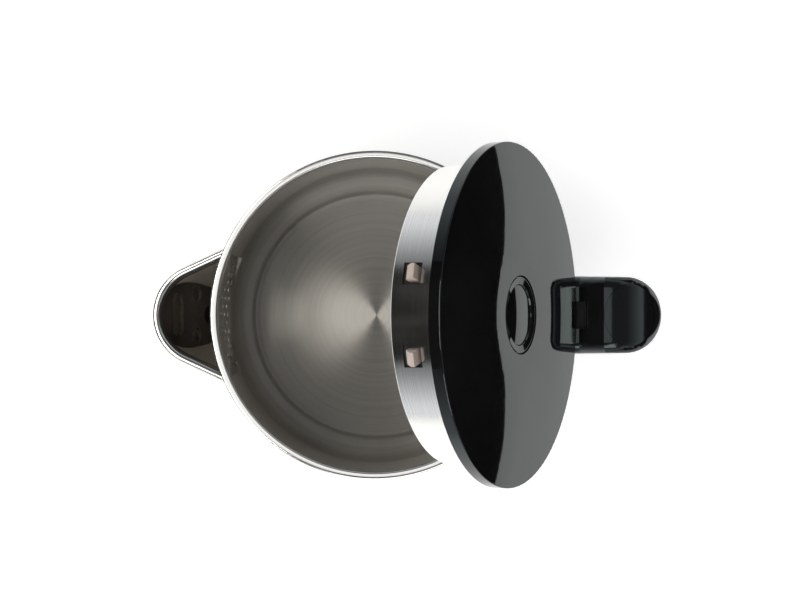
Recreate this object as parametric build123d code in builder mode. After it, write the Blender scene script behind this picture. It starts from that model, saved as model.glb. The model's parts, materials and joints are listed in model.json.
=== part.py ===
from build123d import *
from math import cos, radians, sin, sqrt, tan
import os

# Cordless electric kettle on its round power base, with the lid swung open.
# Millimetres, +Z up. The origin is on the kettle's axis, on the surface that the base stands on.
# The spout points to -X and the handle to +X.

# ---- driving dimensions ----
RIM_Z = 190.0  # top of the rolled rim
RIM_R = 75.0  # outside of the rim
RIM_INNER_R = 71.6
POT_R = 72.2  # inside of the pot's wall
POT_DEPTH = 135.0  # rim to floor
POT_CORNER_R = 10.0
BEAD_R = 59.3  # middle of the ring pressed into the pot's floor
SHEET = 0.7  # steel of the pot and the outer shell
SHELL_TOP_R = 74.6
SHELL_FOOT_R = 78.0
SHELL_FOOT_Z = 46.0
COLLAR_R = 78.6
KETTLE_Z = 20.0  # underside of the kettle
BASE_R = 79.6
BASE_TOP_Z = 19.7
BASE_WALL = 2.2
FOOT_H = 2.6
PLUG_R = 12.5
PLUG_TOP_Z = 34.0
GLAND_Z = 7.5  # middle of the cord outlet
GLAND_BORE_R = 3.5
SCREW_R = 1.5
CLEARANCE = 0.3

LID_R = 75.2  # the disc, as wide as the rim
LID_EDGE = 5.25  # height of the disc's edge
LID_CROWN = 4.5  # from the disc's edge up to the button
LID_WALL = 1.8
SKIRT_R = 65.3
SKIRT_H = 22.2
SKIRT_SHEET = 0.5
BUTTON_R = 16.9
BUTTON_TRAVEL = 3.0
LATCH_ANGLE = 15.5  # each side of the lid's front
HINGE_X = 83.5
HINGE_DROP = 13.0  # hinge axis below the disc's upper edge
HINGE_PIN_R = 1.5
KNUCKLE_R = 4.2
ARM_W = 11.6
OPEN_ANGLE = 65.0

HANDLE_W = 35.6
HANDLE_X = 131.5  # outermost point of the handle
HANDLE_TOP_Z = RIM_Z - 0.4
HANDLE_CREST_Z = RIM_Z + 5.4
HANDLE_FOOT_Z = 31.0
HANDLE_WALL = 2.4
FINGER_X = 104.0  # inner face of the grip
FINGER_TOP_Z = 163.0
FINGER_FOOT_Z = 62.0
PADDLE_X, PADDLE_Z = 102.0, 46.0  # pivot of the switch paddle

POT_FLOOR_Z = RIM_Z - POT_DEPTH
LID_Z = RIM_Z + CLEARANCE  # underside of the closed disc
EDGE_Z = LID_Z + LID_EDGE  # upper edge of the closed disc
SKIRT_Z = LID_Z - SKIRT_H
HINGE_Z = EDGE_Z - HINGE_DROP
HINGE_AXIS = Axis((HINGE_X, 0, HINGE_Z), (0, 1, 0))

SIDE = Plane.XZ  # sketches on it read as the kettle does from the front: x to the right, z up


def shell_radius(z):
    """Outside radius of the tapered steel shell at height z."""
    share = (z - SHELL_FOOT_Z) / (RIM_Z - SHELL_FOOT_Z)
    return SHELL_FOOT_R + (SHELL_TOP_R - SHELL_FOOT_R) * share


def side_at(y):
    """Side plane at y, on which an extrusion of positive length runs towards -Y."""
    return Plane(origin=(0, y, 0), x_dir=(1, 0, 0), z_dir=(0, -1, 0))


def swing(piece):
    """A lid piece, drawn closed, turned about the hinge to where the open lid stands."""
    return piece.rotate(HINGE_AXIS, OPEN_ANGLE)


def coil_spring(plane, radius, wire, length, turns):
    """Open coil that starts on the plane and grows along its z direction."""
    steps = round(turns * 8)
    points = []
    for k in range(steps + 1):
        angle = radians(45 * k)
        points.append((radius * cos(angle), radius * sin(angle), length * k / steps))
    with BuildPart() as coil:
        with BuildLine() as path:
            Spline(*points)
        with BuildSketch(Plane(origin=path.line @ 0, z_dir=path.line % 0)):
            Circle(wire / 2)
        sweep(path=path.line)
    return plane.location * coil.part


# ======== power base ========
PLUG_HOLE_R = PLUG_R + 1.1
SCREW_RING_R = 50.0
PLATE_TOP_Z = FOOT_H + 2.2
BOSS_TOP_Z = 12.0

with BuildPart() as base_shell:
    with BuildSketch(SIDE):
        with BuildLine():
            Line((PLUG_HOLE_R, BASE_TOP_Z), (BASE_R - 6, BASE_TOP_Z))
            ThreePointArc((BASE_R - 6, BASE_TOP_Z), (BASE_R - 1.6, BASE_TOP_Z - 2), (BASE_R, 13))
            Line((BASE_R, 13), (BASE_R, FOOT_H + 0.8))
            Line((BASE_R, FOOT_H + 0.8), (BASE_R - BASE_WALL, FOOT_H + 0.8))
            Line((BASE_R - BASE_WALL, FOOT_H + 0.8), (BASE_R - BASE_WALL, 12))
            Line((BASE_R - BASE_WALL, 12), (BASE_R - 8, BASE_TOP_Z - BASE_WALL))
            Line((BASE_R - 8, BASE_TOP_Z - BASE_WALL), (PLUG_HOLE_R, BASE_TOP_Z - BASE_WALL))
            Line((PLUG_HOLE_R, BASE_TOP_Z - BASE_WALL), (PLUG_HOLE_R, BASE_TOP_Z))
        make_face()
    revolve(axis=Axis.Z)
    # shallow drip groove round the plug, with three drain holes
    with BuildSketch(Plane.XY.offset(BASE_TOP_Z)):
        Circle(31)
        Circle(28.5, mode=Mode.SUBTRACT)
    extrude(amount=-0.8, mode=Mode.SUBTRACT)
    with BuildSketch(Plane.XY.offset(BASE_TOP_Z)):
        with PolarLocations(29.75, 3, start_angle=30):
            Circle(1.1)
    extrude(amount=-4, mode=Mode.SUBTRACT)
    # screw bosses under the top
    with BuildSketch(Plane.XY.offset(BOSS_TOP_Z + 0.2)):
        with PolarLocations(SCREW_RING_R, 3, start_angle=60):
            Circle(4)
            Circle(SCREW_R + 0.05, mode=Mode.SUBTRACT)
    extrude(amount=BASE_TOP_Z - BASE_WALL - BOSS_TOP_Z - 0.2)
    # notch at the back for the cord gland
    with BuildSketch(Plane.YZ.offset(BASE_R - 6)):
        with Locations((0, 5.5)):
            Rectangle(12.4, 14.0)
    extrude(amount=10, mode=Mode.SUBTRACT)

with BuildPart() as base_plate:
    with BuildSketch(Plane.XY.offset(FOOT_H)):
        Circle(BASE_R - BASE_WALL - CLEARANCE)
    extrude(amount=PLATE_TOP_Z - FOOT_H)
    # inner wall that spare cord winds round
    with BuildSketch(Plane.XY.offset(PLATE_TOP_Z)):
        Circle(36)
        Circle(34.2, mode=Mode.SUBTRACT)
    extrude(amount=7)
    with BuildSketch(Plane.XY.offset(PLATE_TOP_Z)):
        with PolarLocations(SCREW_RING_R, 3, start_angle=60):
            Circle(4.6)
    extrude(amount=BOSS_TOP_Z - PLATE_TOP_Z)
    # screw holes with room for the heads
    with BuildSketch(Plane.XY.offset(FOOT_H)):
        with PolarLocations(SCREW_RING_R, 3, start_angle=60):
            Circle(SCREW_R + 0.15)
    extrude(amount=BOSS_TOP_Z, mode=Mode.SUBTRACT)
    with BuildSketch(Plane.XY.offset(FOOT_H)):
        with PolarLocations(SCREW_RING_R, 3, start_angle=60):
            Circle(3.4)
    extrude(amount=2.4, mode=Mode.SUBTRACT)
    # room for the cord gland at the back
    with BuildSketch(Plane.XY.offset(FOOT_H)):
        with Locations((BASE_R - 5, 0)):
            Rectangle(13, 12.6)
    extrude(amount=6, mode=Mode.SUBTRACT)

# one soft ring that the base stands on
FOOT_RING_R, FOOT_RING_INNER_R = 71.0, 62.0
with BuildPart() as foot_ring:
    with BuildSketch():
        Circle(FOOT_RING_R)
        Circle(FOOT_RING_INNER_R, mode=Mode.SUBTRACT)
    extrude(amount=FOOT_H)
    chamfer(foot_ring.edges().group_by(Axis.Z)[0], 0.6)

with BuildPart() as base_screws:
    with BuildSketch(Plane.XY.offset(FOOT_H + 0.6)):
        with PolarLocations(SCREW_RING_R, 3, start_angle=60):
            Circle(3.1)
    extrude(amount=1.7)
    with BuildSketch(Plane.XY.offset(FOOT_H + 2.3)):
        with PolarLocations(SCREW_RING_R, 3, start_angle=60):
            Circle(SCREW_R)
    extrude(amount=12)
    # cross recess in each head
    with BuildSketch(Plane.XY.offset(FOOT_H + 0.6)):
        with PolarLocations(SCREW_RING_R, 3, start_angle=60):
            Rectangle(3.2, 0.7)
            Rectangle(0.7, 3.2)
    extrude(amount=0.9, mode=Mode.SUBTRACT)

# cord outlet: a flanged sleeve whose bore takes a 7 mm cord
with BuildPart() as cord_gland:
    with BuildSketch(Plane.YZ.offset(BASE_R - 9)):
        with Locations((0, GLAND_Z)):
            RectangleRounded(9.4, 9.0, 2)
    extrude(amount=12)
    with BuildSketch(Plane.YZ.offset(BASE_R + 0.2)):
        with Locations((0, GLAND_Z)):
            RectangleRounded(11.8, 9.8, 3)
    extrude(amount=1.4)
    with BuildSketch(Plane.YZ.offset(BASE_R - 9)):
        with Locations((0, GLAND_Z)):
            Circle(GLAND_BORE_R)
    extrude(amount=14, mode=Mode.SUBTRACT)

# round plug in the middle of the base, with slots for ring contacts
PLUG_FLANGE_Z = PLATE_TOP_Z + 1
with BuildPart() as base_plug:
    with BuildSketch(Plane.XY.offset(PLUG_FLANGE_Z)):
        Circle(PLUG_R + 6)
    extrude(amount=2.2)
    with BuildSketch(Plane.XY.offset(PLUG_FLANGE_Z)):
        Circle(PLUG_R)
    extrude(amount=PLUG_TOP_Z - PLUG_FLANGE_Z)
    chamfer(base_plug.edges().group_by(Axis.Z)[-1], 1.2)
    with BuildSketch(Plane.XY.offset(PLUG_TOP_Z)):
        Circle(10.6)
        Circle(8.2, mode=Mode.SUBTRACT)
        Circle(6.4)
        Circle(3.8, mode=Mode.SUBTRACT)
        Circle(2.3)
    extrude(amount=-12, mode=Mode.SUBTRACT)

# sprung rings that line the inner side of each slot
with BuildPart() as plug_contacts:
    with BuildSketch(Plane.XY.offset(PLUG_TOP_Z - 12)):
        for outer in (8.7, 4.3, 2.3):
            Circle(outer)
            Circle(outer - 0.5, mode=Mode.SUBTRACT)
    extrude(amount=10)

# ======== kettle body ========
SOCKET_R = PLUG_R + 0.8
SOCKET_TOP_Z = PLUG_TOP_Z + 2.5
CONTROL_R = 20.0
CONTROL_TOP_Z = 44.0
WIRE_Z = 39.0  # height at which the switch's wires leave the body
COLLAR_INNER_R = SHELL_FOOT_R - SHEET - CLEARANCE

with BuildPart() as collar:
    with BuildSketch(SIDE):
        Polygon(
            (COLLAR_R, KETTLE_Z + 3),
            (COLLAR_R, SHELL_FOOT_Z - 0.6),
            (COLLAR_R - 0.5, SHELL_FOOT_Z - 0.1),
            (COLLAR_INNER_R, SHELL_FOOT_Z - 0.1),
            (COLLAR_INNER_R - 0.2, SHELL_FOOT_Z + 5),
            (COLLAR_INNER_R - 2, SHELL_FOOT_Z + 5),
            (COLLAR_INNER_R - 2, KETTLE_Z + 5),
            (COLLAR_R - 8, KETTLE_Z + 5),
            (COLLAR_R - 8, KETTLE_Z),
            (COLLAR_R - 2.4, KETTLE_Z),
            align=None,
        )
    revolve(axis=Axis.Z)
    with BuildSketch(Plane.YZ.offset(COLLAR_R - 6)):
        with Locations((0, WIRE_Z)):
            SlotOverall(12, 5)
    extrude(amount=8, mode=Mode.SUBTRACT)

with BuildPart() as bottom_cover:
    with BuildSketch(Plane.XY.offset(KETTLE_Z + 1)):
        Circle(COLLAR_R - 8.4)
        Circle(SOCKET_R + 0.6, mode=Mode.SUBTRACT)
    extrude(amount=2.2)
    # ribs on its inner side
    with BuildSketch(Plane.XY.offset(KETTLE_Z + 3.2)):
        Circle(40)
        Circle(38.4, mode=Mode.SUBTRACT)
        for k in range(6):
            with Locations(Rot(0, 0, 60 * k) * Pos(54, 0)):
                Rectangle(29, 1.6)
    extrude(amount=2.5)
    with BuildSketch(Plane.XY.offset(KETTLE_Z + 1)):
        with PolarLocations(46, 3, start_angle=30):
            Circle(SCREW_R + 0.15)
    extrude(amount=3, mode=Mode.SUBTRACT)
    with BuildSketch(Plane.XY.offset(KETTLE_Z + 1)):
        with PolarLocations(46, 3, start_angle=30):
            Circle(3.3)
    extrude(amount=1.2, mode=Mode.SUBTRACT)

with BuildPart() as bottom_screws:
    with BuildSketch(Plane.XY.offset(KETTLE_Z + 1.3)):
        with PolarLocations(46, 3, start_angle=30):
            Circle(3.0)
    extrude(amount=0.85)
    with BuildSketch(Plane.XY.offset(KETTLE_Z + 2)):
        with PolarLocations(46, 3, start_angle=30):
            Circle(SCREW_R)
    extrude(amount=9)

with BuildPart() as control_unit:
    with BuildSketch(Plane.XY.offset(KETTLE_Z + 3.4)):
        Circle(CONTROL_R)
    extrude(amount=CONTROL_TOP_Z - KETTLE_Z - 3.4)
    with BuildSketch(Plane.XY.offset(KETTLE_Z + 8)):
        RectangleRounded(56, 22, 5)
    extrude(amount=14)
    with BuildSketch(Plane.XY.offset(KETTLE_Z)):
        Circle(SOCKET_R)
    extrude(amount=SOCKET_TOP_Z - KETTLE_Z, mode=Mode.SUBTRACT)

# pin and two blades that reach down into the plug's slots
with BuildPart() as socket_contacts:
    with BuildSketch(Plane.XY.offset(SOCKET_TOP_Z)):
        Circle(1.1)
        with Locations((5.4, 0), (-9.7, 0)):
            Rectangle(0.8, 2.4)
    extrude(amount=-10)

# bimetal discs that switch the element off if it boils dry
with BuildPart() as dry_boil_discs:
    with BuildSketch(Plane.XY.offset(CONTROL_TOP_Z + 0.2)):
        with Locations((0, 10.5), (0, -10.5)):
            Circle(7.5)
    extrude(amount=1.4)

HEAT_PLATE_T = 2.5
HEAT_PLATE_Z = POT_FLOOR_Z - SHEET - HEAT_PLATE_T - 0.1
with BuildPart() as heat_plate:
    with BuildSketch(Plane.XY.offset(HEAT_PLATE_Z)):
        Circle(57)
    extrude(amount=HEAT_PLATE_T)

# sheathed element: an open ring brazed under the plate, with its two cold ends turned down
ELEMENT_R = 3.2
ELEMENT_RING_R = 42.0
ELEMENT_Z = HEAT_PLATE_Z - ELEMENT_R - 0.05
ELEMENT_END = radians(160)  # where each half of the ring ends
end_x = ELEMENT_RING_R * cos(ELEMENT_END)
end_y = ELEMENT_RING_R * sin(ELEMENT_END)
with BuildPart() as heating_element:
    with BuildLine(Plane.XY.offset(ELEMENT_Z)) as element_path:
        ThreePointArc((end_x, end_y), (ELEMENT_RING_R, 0), (end_x, -end_y))
    with BuildSketch(Plane(origin=element_path.line @ 0, z_dir=element_path.line % 0)):
        Circle(ELEMENT_R)
    sweep(path=element_path.line)
    with BuildSketch(Plane.XY.offset(ELEMENT_Z)):
        with Locations((end_x, end_y), (end_x, -end_y)):
            Circle(ELEMENT_R)
    extrude(amount=-9)

# pot: floor with a pressed ring, a rounded corner and the straight wall
WINDOW_ANGLE = 21.0  # half the width of the window behind the strainer
WINDOW_TOP_Z = RIM_Z - 17
WINDOW_FOOT_Z = RIM_Z - 41
STEAM_Y = 9.0
STEAM_Z = RIM_Z - 20
FLOOR_FLAT_R = POT_R - POT_CORNER_R
BEAD_W, BEAD_H = 5.2, 0.8
CORNER_MID = POT_CORNER_R * (1 - sqrt(0.5))
CORNER_MID_OUT = CORNER_MID - SHEET * sqrt(0.5)
CORNER_TOP_Z = POT_FLOOR_Z + POT_CORNER_R
POT_TOP_Z = RIM_Z - 1
with BuildPart() as pot:
    with BuildSketch(SIDE):
        with BuildLine():
            Line((0, POT_FLOOR_Z), (BEAD_R - BEAD_W / 2, POT_FLOOR_Z))
            Spline(
                (BEAD_R - BEAD_W / 2, POT_FLOOR_Z),
                (BEAD_R, POT_FLOOR_Z + BEAD_H),
                (BEAD_R + BEAD_W / 2, POT_FLOOR_Z),
                tangents=((1, 0), (1, 0)),
            )
            Line((BEAD_R + BEAD_W / 2, POT_FLOOR_Z), (FLOOR_FLAT_R, POT_FLOOR_Z))
            ThreePointArc(
                (FLOOR_FLAT_R, POT_FLOOR_Z),
                (POT_R - CORNER_MID, POT_FLOOR_Z + CORNER_MID),
                (POT_R, CORNER_TOP_Z),
            )
            Line((POT_R, CORNER_TOP_Z), (POT_R, POT_TOP_Z))
            Line((POT_R, POT_TOP_Z), (POT_R + SHEET, POT_TOP_Z))
            Line((POT_R + SHEET, POT_TOP_Z), (POT_R + SHEET, CORNER_TOP_Z))
            ThreePointArc(
                (POT_R + SHEET, CORNER_TOP_Z),
                (POT_R - CORNER_MID_OUT, POT_FLOOR_Z + CORNER_MID_OUT),
                (FLOOR_FLAT_R, POT_FLOOR_Z - SHEET),
            )
            Line((FLOOR_FLAT_R, POT_FLOOR_Z - SHEET), (0, POT_FLOOR_Z - SHEET))
            Line((0, POT_FLOOR_Z - SHEET), (0, POT_FLOOR_Z))
        make_face()
    revolve(axis=Axis.Z)
    # window into the spout, covered by the strainer
    with BuildSketch(Plane.XZ.rotated((0, 0, 180 - WINDOW_ANGLE))):
        with Locations((POT_R, (WINDOW_TOP_Z + WINDOW_FOOT_Z) / 2)):
            Rectangle(5, WINDOW_TOP_Z - WINDOW_FOOT_Z)
    revolve(axis=Axis.Z, revolution_arc=2 * WINDOW_ANGLE, mode=Mode.SUBTRACT)
    # holes that lead steam to the switch in the handle
    with BuildSketch(Plane.YZ.offset(POT_R - 3)):
        with Locations((STEAM_Y, STEAM_Z)):
            with GridLocations(2.2, 2.2, 2, 2):
                Circle(0.7)
    extrude(amount=6, mode=Mode.SUBTRACT)

with BuildPart() as shell:
    with BuildSketch(SIDE):
        Polygon(
            (shell_radius(SHELL_FOOT_Z), SHELL_FOOT_Z),
            (shell_radius(POT_TOP_Z), POT_TOP_Z),
            (shell_radius(POT_TOP_Z) - SHEET, POT_TOP_Z),
            (shell_radius(SHELL_FOOT_Z) - SHEET, SHELL_FOOT_Z),
            align=None,
        )
    revolve(axis=Axis.Z)
    # opening into the spout, wide at the top and narrow below
    with BuildSketch(Plane.YZ.offset(-SHELL_FOOT_R - 2)):
        Polygon((-21, RIM_Z - 10), (21, RIM_Z - 10), (10, RIM_Z - 50), (-10, RIM_Z - 50), align=None)
    extrude(amount=12, mode=Mode.SUBTRACT)
    # hole for the steam tube
    with BuildSketch(Plane.YZ.offset(POT_R)):
        with Locations((STEAM_Y, STEAM_Z)):
            Circle(2.3)
    extrude(amount=8, mode=Mode.SUBTRACT)

# rolled rim that hooks over the top edges of the pot and the shell
RIM_FLANGE_Z = RIM_Z - 9.5
RIM_ROUND = 0.9
RIM_SLEEVE_R = POT_R - 0.05
with BuildPart() as rim_ring:
    with BuildSketch(SIDE):
        Polygon(
            (RIM_INNER_R, RIM_FLANGE_Z),
            (RIM_INNER_R, RIM_Z),
            (RIM_R, RIM_Z),
            (RIM_R, RIM_Z - 4),
            (SHELL_TOP_R + 0.15, RIM_Z - 4),
            (SHELL_TOP_R + 0.15, RIM_Z - RIM_ROUND),
            (RIM_SLEEVE_R, RIM_Z - RIM_ROUND),
            (RIM_SLEEVE_R, RIM_FLANGE_Z),
            align=None,
        )
    revolve(axis=Axis.Z)
    fillet(rim_ring.edges().group_by(Axis.Z)[-1], 0.85)

# strainer: a band that leans into the pot, punched with rows of holes, with a web at each end
STRAINER_ANGLE = 23.0
STRAINER_R = POT_R - 0.15
STRAINER_FOOT_R = 68.0
STRAINER_T = 0.6
STRAINER_TOP_Z = RIM_Z - 10
STRAINER_BEND_Z = RIM_Z - 15
STRAINER_FOOT_Z = RIM_Z - 40
WEB_ARC = 0.6
HOLE_R = 1.35
HOLE_STEP = 6.3  # degrees between the holes of a row
HOLE_ROWS = 5
ROW_TOP_Z = RIM_Z - 19.5
ROW_PITCH = 3.7
with BuildPart() as strainer:
    with BuildSketch(Plane.XZ.rotated((0, 0, 180 - STRAINER_ANGLE))):
        Polygon(
            (STRAINER_R, STRAINER_TOP_Z),
            (STRAINER_R, STRAINER_BEND_Z),
            (STRAINER_FOOT_R, STRAINER_FOOT_Z),
            (STRAINER_FOOT_R - STRAINER_T, STRAINER_FOOT_Z),
            (STRAINER_R - STRAINER_T, STRAINER_BEND_Z),
            (STRAINER_R - STRAINER_T, STRAINER_TOP_Z),
            align=None,
        )
    revolve(axis=Axis.Z, revolution_arc=2 * STRAINER_ANGLE)
    for web_start in (180 - STRAINER_ANGLE, 180 + STRAINER_ANGLE - WEB_ARC):
        with BuildSketch(Plane.XZ.rotated((0, 0, web_start))):
            Polygon(
                (STRAINER_R, STRAINER_BEND_Z),
                (STRAINER_R, STRAINER_FOOT_Z),
                (STRAINER_FOOT_R - STRAINER_T, STRAINER_FOOT_Z),
                (STRAINER_R - STRAINER_T, STRAINER_BEND_Z),
                align=None,
            )
        revolve(axis=Axis.Z, revolution_arc=WEB_ARC)
    for row in range(HOLE_ROWS):
        # three holes in the top row, then full rows, each staggered against the one above
        reach = 1 if row == 0 else 3 - 0.5 * (row % 2)
        for k in range(int(2 * reach) + 1):
            angle = radians(180 + HOLE_STEP * (k - reach))
            outward = Plane(origin=(0, 0, ROW_TOP_Z - ROW_PITCH * row), z_dir=(cos(angle), sin(angle), 0))
            with BuildSketch(outward.offset(STRAINER_FOOT_R - 2)):
                Circle(HOLE_R)
            extrude(amount=5.6, mode=Mode.SUBTRACT)

# ======== spout ========
LIP_X = -101.4
LIP_R = 24.0
LIP_ANGLE = 25.0  # half the angle between the spout's straight sides
LIP_FLARE = 2.6
SPOUT_SHEET = 0.8
LINER_GAP = 0.15
SLEEVE_T = 0.5
SPOUT_LIP_Z = RIM_Z - 0.6
SPOUT_BACK_X = -60.0
# tip, radius of the tip and height of each section from the foot to the neck under the lip
SPOUT_SECTIONS = (
    (-75.5, 7.0, RIM_Z - 68),
    (-87.0, 14.0, RIM_Z - 46),
    (-96.0, 19.6, RIM_Z - 25),
    (LIP_X + LIP_FLARE, LIP_R - LIP_FLARE, RIM_Z - 4.5),
)


def spout_outline(tip_x, tip_r, z):
    """Rounded V seen from above: an arc at the tip and two straight sides running to the body."""
    half = radians(LIP_ANGLE)
    side_x, side_y = tip_x + tip_r * (1 - sin(half)), tip_r * cos(half)
    back_y = side_y + (SPOUT_BACK_X - side_x) * tan(half)
    with BuildSketch(Plane.XY.offset(z)) as outline:
        with BuildLine():
            Line((SPOUT_BACK_X, -back_y), (side_x, -side_y))
            ThreePointArc((side_x, -side_y), (tip_x, 0), (side_x, side_y))
            Line((side_x, side_y), (SPOUT_BACK_X, back_y))
            Line((SPOUT_BACK_X, back_y), (SPOUT_BACK_X, -back_y))
        make_face()
    return outline.sketch


def filled_spout(inset, top_z=SPOUT_LIP_Z):
    """The space inside the spout's outer surface, drawn in by inset."""
    sections = [spout_outline(tip_x + inset, tip_r - inset, z) for tip_x, tip_r, z in SPOUT_SECTIONS]
    lip = spout_outline(LIP_X + inset, LIP_R - inset, top_z)
    with BuildPart() as filled:
        loft(sections)
        loft([sections[-1], lip], ruled=True)
    return filled.part


with BuildPart() as body_envelope:
    with BuildSketch(SIDE):
        Polygon(
            (0, 0),
            (SHELL_FOOT_R + 1.2, 0),
            (COLLAR_R + 0.1, SHELL_FOOT_Z),
            (shell_radius(SHELL_FOOT_Z) + 0.1, SHELL_FOOT_Z + 0.1),
            (shell_radius(RIM_Z - 4.2) + 0.1, RIM_Z - 4.2),
            (RIM_R + 0.1, RIM_Z - 4.1),
            (RIM_R + 0.1, RIM_Z + 20),
            (0, RIM_Z + 20),
            align=None,
        )
    revolve(axis=Axis.Z)

spout_outside = filled_spout(0)
spout_inside = filled_spout(SPOUT_SHEET, SPOUT_LIP_Z + 0.1)
with BuildPart() as spout:
    add(spout_outside)
    add(spout_inside, mode=Mode.SUBTRACT)
    add(body_envelope.part, mode=Mode.SUBTRACT)

# dark liner: a sleeve round the top of the channel and a sloping plate with a slot and three holes
PLATE_ANGLE = 62.0  # from level
PLATE_X = LIP_X + 4.9  # where the plate's upper face meets the sleeve
PLATE_Z = RIM_Z - 8
PLATE_T = 1.5
PLATE_LENGTH = 43.5
SLEEVE_H = 9.0
# how far down the slope from the plate's top the slot and the holes are
SLOT_S, HOLE_PAIR_S, LAST_HOLE_S = 12.9, 29.8, 40.3
SLOT_LENGTH, SLOT_W = 21.0, 9.6
HOLE_PAIR_Y = 9.6
liner_plane = Plane(
    origin=(PLATE_X, 0, PLATE_Z),
    x_dir=(cos(radians(PLATE_ANGLE)), 0, -sin(radians(PLATE_ANGLE))),
    z_dir=(-sin(radians(PLATE_ANGLE)), 0, -cos(radians(PLATE_ANGLE))),
)
liner_space = filled_spout(SPOUT_SHEET + LINER_GAP)
sleeve_space = filled_spout(SPOUT_SHEET + LINER_GAP + SLEEVE_T)
with BuildPart() as liner_plate:
    with BuildSketch(liner_plane):
        with Locations((PLATE_LENGTH / 2 - 2, 0)):
            Rectangle(PLATE_LENGTH + 4, 50)
        with Locations((SLOT_S, 0)):
            SlotOverall(SLOT_LENGTH, SLOT_W, rotation=90, mode=Mode.SUBTRACT)
        with Locations((HOLE_PAIR_S, HOLE_PAIR_Y), (HOLE_PAIR_S, -HOLE_PAIR_Y)):
            Circle(3.7, mode=Mode.SUBTRACT)
        with Locations((LAST_HOLE_S, 0)):
            Circle(4.1, mode=Mode.SUBTRACT)
    extrude(amount=PLATE_T)
    add(liner_space, mode=Mode.INTERSECT)

with BuildPart() as spout_liner:
    with BuildSketch(Plane.XY.offset(RIM_Z - 5.5)):
        with Locations((-90, 0)):
            Rectangle(60, 80)
    extrude(amount=-SLEEVE_H)
    add(liner_space, mode=Mode.INTERSECT)
    add(sleeve_space, mode=Mode.SUBTRACT)
    add(liner_plate.part)
    add(body_envelope.part, mode=Mode.SUBTRACT)

# ======== lid, drawn closed ========
COVER_HOLE_R = BUTTON_R + 0.3
CREST_Z = EDGE_Z + LID_CROWN
FRAME_R = LID_R - LID_WALL - CLEARANCE
FRAME_T = 1.6
FRAME_TOP_Z = LID_Z + FRAME_T
SKIRT_INNER_R = SKIRT_R - SKIRT_SHEET
LATCH_Z = LID_Z - 12.6  # middle of the latches' height
LATCH_W, LATCH_H = 6.2, 5.0
LATCH_TIP_R = 70.4
WINDOW_W, WINDOW_H = 9.7, 8.5
WINDOW_Z = LID_Z - 13.1
BAR_W, BAR_H = 3.6, 6.0
# a latch's bar along its length: inner end, start of its wide part, end at the nose
BAR_START, BAR_WIDE, BAR_END = 11.0, 26.0, 58.5
RAIL_W = 1.2
PIN_X = -13.5  # cross pin of the button, in the latches' slanted slots
PIN_Z = LATCH_Z + 1.4
PIN_R = 0.9
POST_W = 1.8
# each latch has a long window with a spring in it, which pushes against a peg of the frame
PEG_X = 32.8
PEG_T = 1.2
LATCH_WINDOW = (32.0, 45.0)
LATCH_WINDOW_W = 3.6
SCREW_POST_R = 48.0  # ring on which the lid's screw posts stand
LID_BOTTOM_Z = SKIRT_Z + 1.6
LID_BOTTOM_T = 0.8


def crown(inset):
    """Outline of the disc's top, from its edge in to the button, drawn in by inset."""
    outer = LID_R - inset
    return [
        (outer, EDGE_Z - 0.5 - inset),
        (outer - 0.5, EDGE_Z - inset),
        (62, EDGE_Z + 0.42 * LID_CROWN - inset),
        (50, EDGE_Z + 0.72 * LID_CROWN - inset),
        (36, EDGE_Z + 0.93 * LID_CROWN - inset),
        (25, CREST_Z - inset),
        (COVER_HOLE_R, CREST_Z - inset),
    ]


def latch_frame(side):
    """Plane at the latches' height that looks up, with x along a latch towards the lid's edge."""
    angle = radians(180 + side * LATCH_ANGLE)
    return Plane(origin=(0, 0, LATCH_Z), x_dir=(cos(angle), sin(angle), 0), z_dir=(0, 0, 1))


top, under = crown(0), crown(LID_WALL)
with BuildPart() as lid_cover:
    with BuildSketch(SIDE):
        with BuildLine():
            Line((LID_R, LID_Z), top[0])
            ThreePointArc(top[0], (LID_R - 0.15, EDGE_Z - 0.15), top[1])
            Spline(top[1:], tangents=((-1, 0.17), (-1, 0)))
            Line(top[-1], under[-1])
            Spline(under[:0:-1], tangents=((1, 0), (1, -0.17)))
            Line(under[1], under[0])
            Line(under[0], (LID_R - LID_WALL, LID_Z))
            Line((LID_R - LID_WALL, LID_Z), (LID_R, LID_Z))
        make_face()
    revolve(axis=Axis.Z)
    # notch in the back edge for the hinge arm
    with BuildSketch(Plane.XY.offset(LID_Z)):
        with Locations((LID_R, 0)):
            Rectangle(12, ARM_W + 0.4)
    extrude(amount=3.5, mode=Mode.SUBTRACT)

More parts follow.
